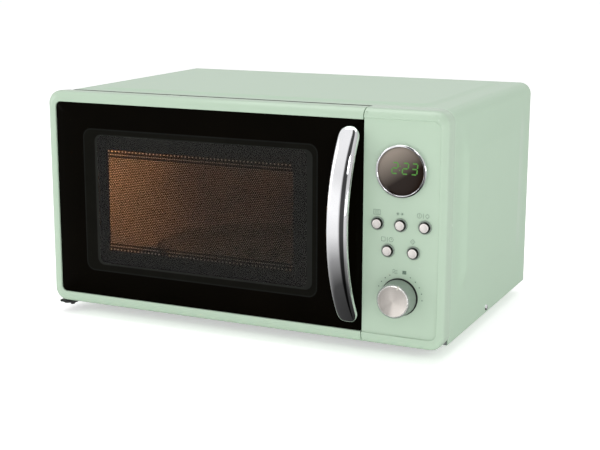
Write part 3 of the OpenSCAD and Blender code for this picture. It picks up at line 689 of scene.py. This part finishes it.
def stroke(bm, x0, z0, x1, z1, width, depth, taper=0.0):
    """A flat line on a surface that faces the front. depth gives its y at a place, and taper points its ends."""
    length = math.hypot(x1 - x0, z1 - z0)
    ux, uz = (x1 - x0) / length, (z1 - z0) / length
    px, pz = -uz * width / 2, ux * width / 2
    t = taper * width / 2
    pts = [(x0, z0), (x0 + ux * t + px, z0 + uz * t + pz), (x1 - ux * t + px, z1 - uz * t + pz), (x1, z1),
           (x1 - ux * t - px, z1 - uz * t - pz), (x0 + ux * t - px, z0 + uz * t - pz)]
    if not taper:
        pts = [pts[1], pts[2], pts[4], pts[5]]
    bm.faces.new([bm.verts.new(at(x, depth(x, z), z)) for x, z in pts])


def lens_front(x, z):
    r = min(math.hypot(x - dx, z - dz) / LENS_R, 1)
    return LENS_EDGE_Y - LENS_BULGE * math.sqrt(1 - r * r) - 0.04


def digit_point(start, u, v):
    return start + u * DIGIT_W + v * DIGIT_H * SLANT, digit_z + v * DIGIT_H


for start, segments in ((dx - 9.3, "abged"), (dx + 1.2, "abged"), (dx + 10.2, "abgcd")):
    for segment in segments:
        (x0, z0), (x1, z1) = (digit_point(start, u, v) for u, v in SEGMENTS[segment])
        length = math.hypot(x1 - x0, z1 - z0)
        gx, gz = (x1 - x0) / length * BAR_GAP, (z1 - z0) / length * BAR_GAP
        stroke(bm, x0 + gx, z0 + gz, x1 - gx, z1 - gz, BAR_W, lens_front, taper=0.9)
for v in (0.3, 0.7):
    x, z = digit_point(dx - 1.7, 0, v)
    stroke(bm, x - DOT / 2, z, x + DOT / 2, z, DOT, lens_front)
finish_mesh("display_digits", bm, M["digit_green"], "housing", weighted=False)

# ---------------------------------------------------------------- buttons and their collars
BUTTON_R = 5
COLLAR_IN, COLLAR_CREST, COLLAR_OUT = BUTTON_R + 0.3, BUTTON_R + 0.9, BUTTON_R + 1.7
collar = ([(COLLAR_IN, 2.5), (COLLAR_IN, -1.0)] + fillet(COLLAR_IN, -1.0, COLLAR_CREST, -1.6, 3, first="y")
          + fillet(COLLAR_CREST, -1.6, COLLAR_OUT, -0.9, 4) + [(COLLAR_OUT, -0.02), (COLLAR_IN, 0.2)])
dome = [(BUTTON_R * math.sin(math.radians(a)), -3.1 - 1.5 * math.cos(math.radians(a))) for a in range(0, 91, 9)]
bm = bmesh.new()
for i in range(1, 6):
    name = f"button_{i}"
    bx, _, bz = spot(name)
    turned_solid(bm, (bx, bz), collar, 48)
    # a domed face of satin metal; where it curves back it is painted dark, a painted dark reflection
    b2 = bmesh.new()
    turned_solid(b2, (bx, bz), dome[:8], 48)
    turned_solid(b2, (bx, bz), dome[7:] + [(BUTTON_R, 3), (0, 3)], 48, material=1)
    piece = finish_mesh(f"button_{i}_look", b2, [M["satin_chrome"], M["chrome_painted_dark_reflection"]], name, smooth=50,
                        weighted=False)
    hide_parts(name)
collars = finish_mesh("button_collars_look", bm, M["satin_knob"], "housing", smooth=35)
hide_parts("button_collars")

# ---------------------------------------------------------------- knob
kx, _, kz = CAP
base_r, k_r, cap_r = radius_of("knob_base_ring"), radius_of("timer_knob"), radius_of("knob_cap")
face_r = k_r - 1.3
CAP_BACK, CAP_CREST = -17.6, -19.15  # depths of the metal disc in the knob
bm = bmesh.new()
# a black ring at the foot of the knob: a black base, and also painted shade for the gap round the knob
turned_solid(bm, (kx, kz), [(8, -0.1), (8, -1.1), (base_r - 0.5, -1.2), (base_r - 0.1, -1.0), (base_r, -0.6),
                            (base_r, -0.02), (8, -0.1)], 96)
base = finish_mesh("knob_base_and_gap_shade_look", bm, M["black_plastic"], "housing", smooth=35)
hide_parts("knob_base_ring")
bm = bmesh.new()
turned_solid(bm, (kx, kz), [(6, -1.6), (k_r - 0.4, -1.55)] + fillet(k_r - 0.4, -1.55, k_r - 0.02, -2.2, 3)
             + [(face_r + 0.5, -17.0)] + fillet(face_r + 0.4, -17.1, face_r - 0.5, -17.95, 4, first="y")
             + [(face_r - 1.2, -17.95), (face_r - 1.3, -17.5), (3, -17.5)], 96)
knob = finish_mesh("knob_look", bm, M["satin_knob"], "knob", smooth=35)
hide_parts("timer_knob")
bm = bmesh.new()
# the rim of the disc takes the painted highlight material
turned_solid(bm, (kx, kz), [(0, CAP_BACK), (cap_r - 0.5, CAP_BACK), (cap_r - 0.05, -17.8), (cap_r - 0.02, -18.1),
                            (cap_r - 0.8, -19.1), (cap_r - 1.0, CAP_CREST)], 96, material=1)
turned_solid(bm, (kx, kz), [(cap_r - 1.0, CAP_CREST), (cap_r - 1.3, -19.05), (0, -18.95)], 96)
cap = finish_mesh("knob_cap_look", bm, [M["brushed_face"], M["rim_painted_highlight"]], "knob", smooth=30,
                  weighted=False)
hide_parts("knob_cap")
bm = bmesh.new()
tilt = math.radians(20)  # where the pointer stands, clockwise from the top
c, s = math.cos(tilt), math.sin(tilt)
corners = [(cap_r - 2.9, -0.7), (face_r - 0.1, -0.7), (face_r - 0.1, 0.7), (cap_r - 2.9, 0.7)]
skin(bm, [[at(kx + r * s + q * c, y, kz + r * c - q * s) for r, q in corners]
          for y in (CAP_BACK, CAP_CREST - 0.03)], caps=True)
finish_mesh("knob_pointer", bm, M["natural_nylon"], "knob", weighted=False)

# ---------------------------------------------------------------- printed marks on the panel
bm = bmesh.new()
MARK_Y = -0.05


def mark(*pts, width=0.35, close=False):
    """A printed line through points, as they are seen from the front."""
    seq = list(pts) + ([pts[0]] if close else [])
    for (x0, z0), (x1, z1) in zip(seq, seq[1:]):
        stroke(bm, x0, z0, x1, z1, width, lambda x, z: MARK_Y)


def circle_mark(cx, cz, r):
    mark(*((cx + r * c, cz + r * s) for c, s in ring_points(16)), close=True)


def diamond_mark(cx, cz, w, h):
    mark((cx - w, cz), (cx, cz + h), (cx + w, cz), (cx, cz - h), close=True)


def square_mark(cx, cz, w, h):
    mark((cx - w, cz - h), (cx + w, cz - h), (cx + w, cz + h), (cx - w, cz + h), close=True)


# one plain icon over each button: lines in a frame, two stars, a dial and a diamond, a box and a clock, a diamond
B = [spot(f"button_{i}") for i in range(1, 6)]
ICON_UP = 11  # from the middle of a button to its icon
x, z = B[0][0] - 1, B[0][2] + ICON_UP
square_mark(x, z, 3.4, 2.4)
for k in (-1.2, 0, 1.2):
    mark((x - 2.4, z + k), (x + 2.4, z + k), width=0.28)
for x in (B[1][0] - 3.2, B[1][0] + 1.2):
    z = B[1][2] + ICON_UP
    for a in (0, 60, 120):
        ux, uz = 1.6 * math.cos(math.radians(a)), 1.6 * math.sin(math.radians(a))
        mark((x - ux, z - uz), (x + ux, z + uz))
x, z = B[2][0] - 2, B[2][2] + ICON_UP
circle_mark(x - 4, z, 2.3)
mark((x - 4, z - 1.4), (x - 4, z + 1.4))
mark((x, z - 2.4), (x, z + 2.4), width=0.4)
diamond_mark(x + 4, z, 2, 2.3)
x, z = B[3][0] - 1, B[3][2] + ICON_UP
square_mark(x - 4, z, 1.9, 2)
mark((x, z - 2.4), (x, z + 2.4), width=0.4)
circle_mark(x + 4, z, 2.2)
mark((x + 4, z), (x + 4, z + 1.5))
mark((x + 4, z), (x + 5.1, z))
x, z = B[4][0] - 1, B[4][2] + ICON_UP
diamond_mark(x, z, 2.4, 2.4)
mark((x - 1.2, z), (x + 1.2, z))
# over the knob: three waves, and a dark block of four bars, then dots round it
x, z = kx - 5, kz + 25
for k in (-1.6, 0, 1.6):
    mark((x - 2.6, z + k), (x - 0.9, z + k + 0.5), (x + 0.9, z + k - 0.5), (x + 2.6, z + k), width=0.3)
x = kx + 4.6
for k in (-1.4, -0.5, 0.4, 1.3):
    mark((x - 2, z + k), (x + 2, z + k), width=0.75)
DIAL_R, DOT_R = 23.2, 0.6
for a in (-26, -40, -54, -68, 28, 44, 60, 76, 92):
    x, z = kx + DIAL_R * math.sin(math.radians(a)), kz + DIAL_R * math.cos(math.radians(a))
    bm.faces.new([bm.verts.new(at(x + DOT_R * c, MARK_Y, z + DOT_R * s)) for c, s in ring_points(10)])
finish_mesh("panel_marks", bm, M["print_grey"], "housing", weighted=False)

# ---------------------------------------------------------------- latch spring
SPRING_LO, SPRING_HI = span("latch_spring")
spring_x, spring_y = (SPRING_LO[0] + SPRING_HI[0]) / 2, (SPRING_LO[1] + SPRING_HI[1]) / 2
WIRE_R, TURNS, TURN_STEPS, LATCH_TRAVEL = 0.45, 6, 24, 4
coil_r = radius_of("latch_spring") - WIRE_R
spring_length = SPRING_HI[2] - SPRING_LO[2]
bm = bmesh.new()
coil = []
for i in range(TURNS * TURN_STEPS + 1):
    a = 2 * math.pi * i / TURN_STEPS
    z = SPRING_LO[2] + WIRE_R + (spring_length - 2 * WIRE_R) * i / (TURNS * TURN_STEPS)
    coil.append([at(spring_x + (coil_r + WIRE_R * c) * math.cos(a), spring_y + (coil_r + WIRE_R * c) * math.sin(a),
                    z + WIRE_R * s) for c, s in ring_points(8)])
skin(bm, coil, caps=True)
spring = finish_mesh("latch_spring_look", bm, M["bare_steel"], "door", smooth=60, weighted=False)
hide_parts("latch_spring")
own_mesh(spring)

# ---------------------------------------------------------------- screws in the cover
bm = bmesh.new()


def screw_head(bm, centre, direction, r, height):
    """A pan-head screw with a cross recess, standing on centre and facing direction."""
    n, up_way = Vector(direction), Vector((0, 0, 1))
    side_way = up_way.cross(n)
    profile = [(r, 0), (r, height * 0.35), (r * 0.9, height * 0.75), (r * 0.62, height)]
    head = [[centre + ((side_way * c + up_way * s) * radius + n * h) * MM for c, s in ring_points(24)]
            for radius, h in profile]
    bm.faces.new(skin(bm, head)[-1])
    slot_l, slot_w = r * 0.5, r * 0.11
    for u, v in ((side_way, up_way), (up_way, -side_way)):
        pts = [centre + (n * (height + 0.02) + u * p + v * q) * MM for p, q in
               ((-slot_l, -slot_w), (slot_l, -slot_w), (slot_l, slot_w), (-slot_l, slot_w))]
        bm.faces.new([bm.verts.new(p) for p in pts]).material_index = 1


for side in (-1, 1):
    screw_head(bm, at(side * (HALF_W - RIM_SIDE), 154.7, 6.8), (side, 0, 0), 3.2, 1.7)
rear_x, rear_z = HALF_W - RIM_SIDE - 5, CASE_H - RIM_TOP - 5
for x, z in [(sx * rear_x, z) for sx in (-1, 1) for z in (60, 180)] + [(x, rear_z) for x in (-120, 0, 120)]:
    screw_head(bm, at(x, COVER_Y1, z), (0, 1, 0), 3.5, 1.8)
screws = finish_mesh("cover_screws_look", bm, [M["chrome"], M["black_plastic"]], "housing",
                     weighted=False)
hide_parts("cover_screws")

# ---------------------------------------------------------------- materials of the CAD nodes that stay
NODE_MATERIALS = {
    "bare_steel": ("base_plate", "rear_panel", "front_plate", "handle_screws", "hinge_upper", "timer_encoder",
                   "encoder_shaft", "magnetron", "waveguide", "capacitor", "fan_motor"),
    "black_plastic": ("rear_spacers", "cord_gland", "hinge_lower", "tact_switches", "hv_diode", "fan_blade",
                      "fan_shroud", "air_duct", "microswitches"),
    "natural_nylon": ("door_latch", "turntable_motor", "turntable_coupler", "roller_ring", "roller_1", "roller_2",
                      "roller_3", "thermal_cutout", "interlock_bracket"),
    "board_green": ("control_board", "noise_filter"),
    "cavity_enamel": ("oven_cavity",), "rubber_black": ("feet",), "clear_film": ("door_film",),
    "grey_plastic": ("choke_cover",), "display_black": ("display_module",), "clear_glass": ("turntable_plate",),
    "mica": ("waveguide_cover",), "copper_winding": ("transformer",), "lamp_glass": ("oven_lamp",),
    "lever_orange": ("interlock_lever",),
}
for finish, names in NODE_MATERIALS.items():
    for name in names:
        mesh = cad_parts[name].data
        mesh.materials.clear()
        mesh.materials.append(M[finish])

# ---------------------------------------------------------------- camera, floor and light
camera_data = bpy.data.cameras.new("camera")
camera_data.lens = 76.4
camera_data.sensor_width = 36
camera_data.shift_x = 0.0555
camera_data.shift_y = -0.0062
camera_data.clip_end = 20
camera = bpy.data.objects.new("camera", camera_data)
bpy.context.scene.collection.objects.link(camera)
az, el, roll = math.radians(26.26), math.radians(12.13), math.radians(-0.18)
back = Vector((math.sin(az) * math.cos(el), -math.cos(az) * math.cos(el), math.sin(el)))
right = (-back).cross(Vector((0, 0, 1))).normalized()
up_v = right.cross(-back)
rolled_right = math.cos(roll) * right + math.sin(roll) * up_v
rolled_up = -math.sin(roll) * right + math.cos(roll) * up_v
camera.matrix_world = Matrix.Translation((0.5945, -1.2670, 0.3977)) @ Matrix(
    (rolled_right, rolled_up, back)).transposed().to_4x4()
bpy.context.scene.camera = camera

floor_mesh = bpy.data.meshes.new("floor")
F = 60  # half its width in metres
floor_mesh.from_pydata([(-F, -F, 0), (F, -F, 0), (F, F, 0), (-F, F, 0)], [], [(0, 1, 2, 3)])
floor_obj = bpy.data.objects.new("floor", floor_mesh)
bpy.context.scene.collection.objects.link(floor_obj)
floor_mesh.materials.append(surface("floor_pale", (0.9, 0.9, 0.9, 1), (0.93, 0.93, 0.93, 1), grain=2,
                                    rough=(0.7, 0.8), bump=0.02, bump_grain=30, specular=0.1))
floor_obj.visible_glossy = False
floor_shader = node_of(floor_mesh.materials[0].node_tree, "ShaderNodeBsdfPrincipled")
socket(floor_shader, "Emission Color", (1, 1, 1, 1))
socket(floor_shader, "Emission Strength", 0.45)


def area(name, place, target, size, power, colour=(1, 1, 1)):
    data = bpy.data.lights.new(name, "AREA")
    data.shape = "RECTANGLE"
    data.size, data.size_y = size
    data.energy = power
    data.color = colour
    obj = bpy.data.objects.new(name, data)
    bpy.context.scene.collection.objects.link(obj)
    obj.location = place
    obj.rotation_euler = (Vector(target) - Vector(place)).to_track_quat("-Z", "Y").to_euler()
    return obj


area("top_box", (0, 0.1, 2.0), (0, 0, 0.2), (2.0, 1.6), 14.5)
area("left_box", (-2.0, -1.1, 0.9), (0, 0, 0.2), (0.8, 1.6), 7)
area("right_box", (0.8, -2.0, 1.5), (0.2, 0, 0.1), (0.5, 0.5), 5)
area("low_fill", (1.5, -1.1, 0.25), (0.1, 0, 0.05), (1.2, 0.3), 3)

cavity_light = area("cavity_light", at(101, 84, 192), at(-196, 60, 150), (0.03, 0.03), 0.7, (1.0, 0.42, 0.18))
cavity_light.data.spread = math.radians(95)

# The studio round the object: its brightness by height, times its brightness by direction
world = bpy.data.worlds.new("studio")
bpy.context.scene.world = world
world.use_nodes = True
wt = world.node_tree
wt.nodes.clear()
w_out = wt.nodes.new("ShaderNodeOutputWorld")
w_bg = wt.nodes.new("ShaderNodeBackground")
w_co = wt.nodes.new("ShaderNodeTexCoord")
w_sep = wt.nodes.new("ShaderNodeSeparateXYZ")
wt.links.new(w_co.outputs["Generated"], w_sep.inputs[0])


def world_math(operation, source, *rest):
    """A math node on source. rest are the numbers, or another node's output, at its further inputs."""
    node = wt.nodes.new("ShaderNodeMath")
    node.operation = operation
    wt.links.new(source, node.inputs[0])
    for place, value in enumerate(rest, 1):
        if isinstance(value, (int, float)):
            node.inputs[place].default_value = value
        else:
            wt.links.new(value, node.inputs[place])
    return node.outputs[0]


def world_ramp(source, stops):
    """Grey by position. stops are pairs of position and brightness."""
    ramp = wt.nodes.new("ShaderNodeValToRGB")
    els = ramp.color_ramp.elements
    els[0].position, els[1].position = stops[0][0], stops[-1][0]
    els[0].color, els[1].color = (stops[0][1],) * 3 + (1,), (stops[-1][1],) * 3 + (1,)
    for place, value in stops[1:-1]:
        els.new(place).color = (value,) * 3 + (1,)
    wt.links.new(source, ramp.inputs["Fac"])
    return ramp


# height above the horizon, from straight down at 0 to straight up at 1
w_half = world_math("MULTIPLY_ADD", w_sep.outputs["Z"], 0.5, 0.5)
by_height = world_ramp(w_half, [(0.0, 0.03), (0.12, 0.06), (0.24, 0.3), (0.38, 0.85), (0.5, 1.0), (0.6, 0.98),
                                (0.7, 0.8), (1.0, 0.9)])
# direction round the horizon, from 0 behind, 0.25 left, 0.5 in front, 0.75 right to 1 behind
w_turn = world_math("ARCTAN2", w_sep.outputs["X"], world_math("MULTIPLY", w_sep.outputs["Y"], -1))
w_share = world_math("MULTIPLY_ADD", w_turn, 0.5 / math.pi, 0.5)
by_side = world_ramp(w_share, [(0.0, 0.68), (0.03, 0.62), (0.12, 0.62), (0.2, 1.0), (0.45, 1.0), (0.47, 0.06),
                               (0.555, 0.06), (0.58, 0.75), (0.8, 0.55), (0.895, 0.9), (0.93, 0.25), (1.0, 0.7)])
w_mix = wt.nodes.new("ShaderNodeMix")
w_mix.data_type = "RGBA"
w_mix.blend_type = "MULTIPLY"
w_mix.inputs[0].default_value = 1.0
wt.links.new(by_height.outputs["Color"], w_mix.inputs[6])
wt.links.new(by_side.outputs["Color"], w_mix.inputs[7])
wt.links.new(w_mix.outputs[2], w_bg.inputs["Color"])
w_bg.inputs["Strength"].default_value = 1.05
# past the end of the floor the camera sees the same white as the floor
w_white = wt.nodes.new("ShaderNodeBackground")
w_white.inputs["Color"].default_value = (1, 1, 1, 1)
w_white.inputs["Strength"].default_value = 1.0
w_path = wt.nodes.new("ShaderNodeLightPath")
w_seen = wt.nodes.new("ShaderNodeMixShader")
wt.links.new(w_path.outputs["Is Camera Ray"], w_seen.inputs[0])
wt.links.new(w_bg.outputs[0], w_seen.inputs[1])
wt.links.new(w_white.outputs[0], w_seen.inputs[2])
wt.links.new(w_seen.outputs[0], w_out.inputs[0])

bpy.context.scene.view_settings.view_transform = "Standard"
bpy.context.scene.view_settings.look = "None"
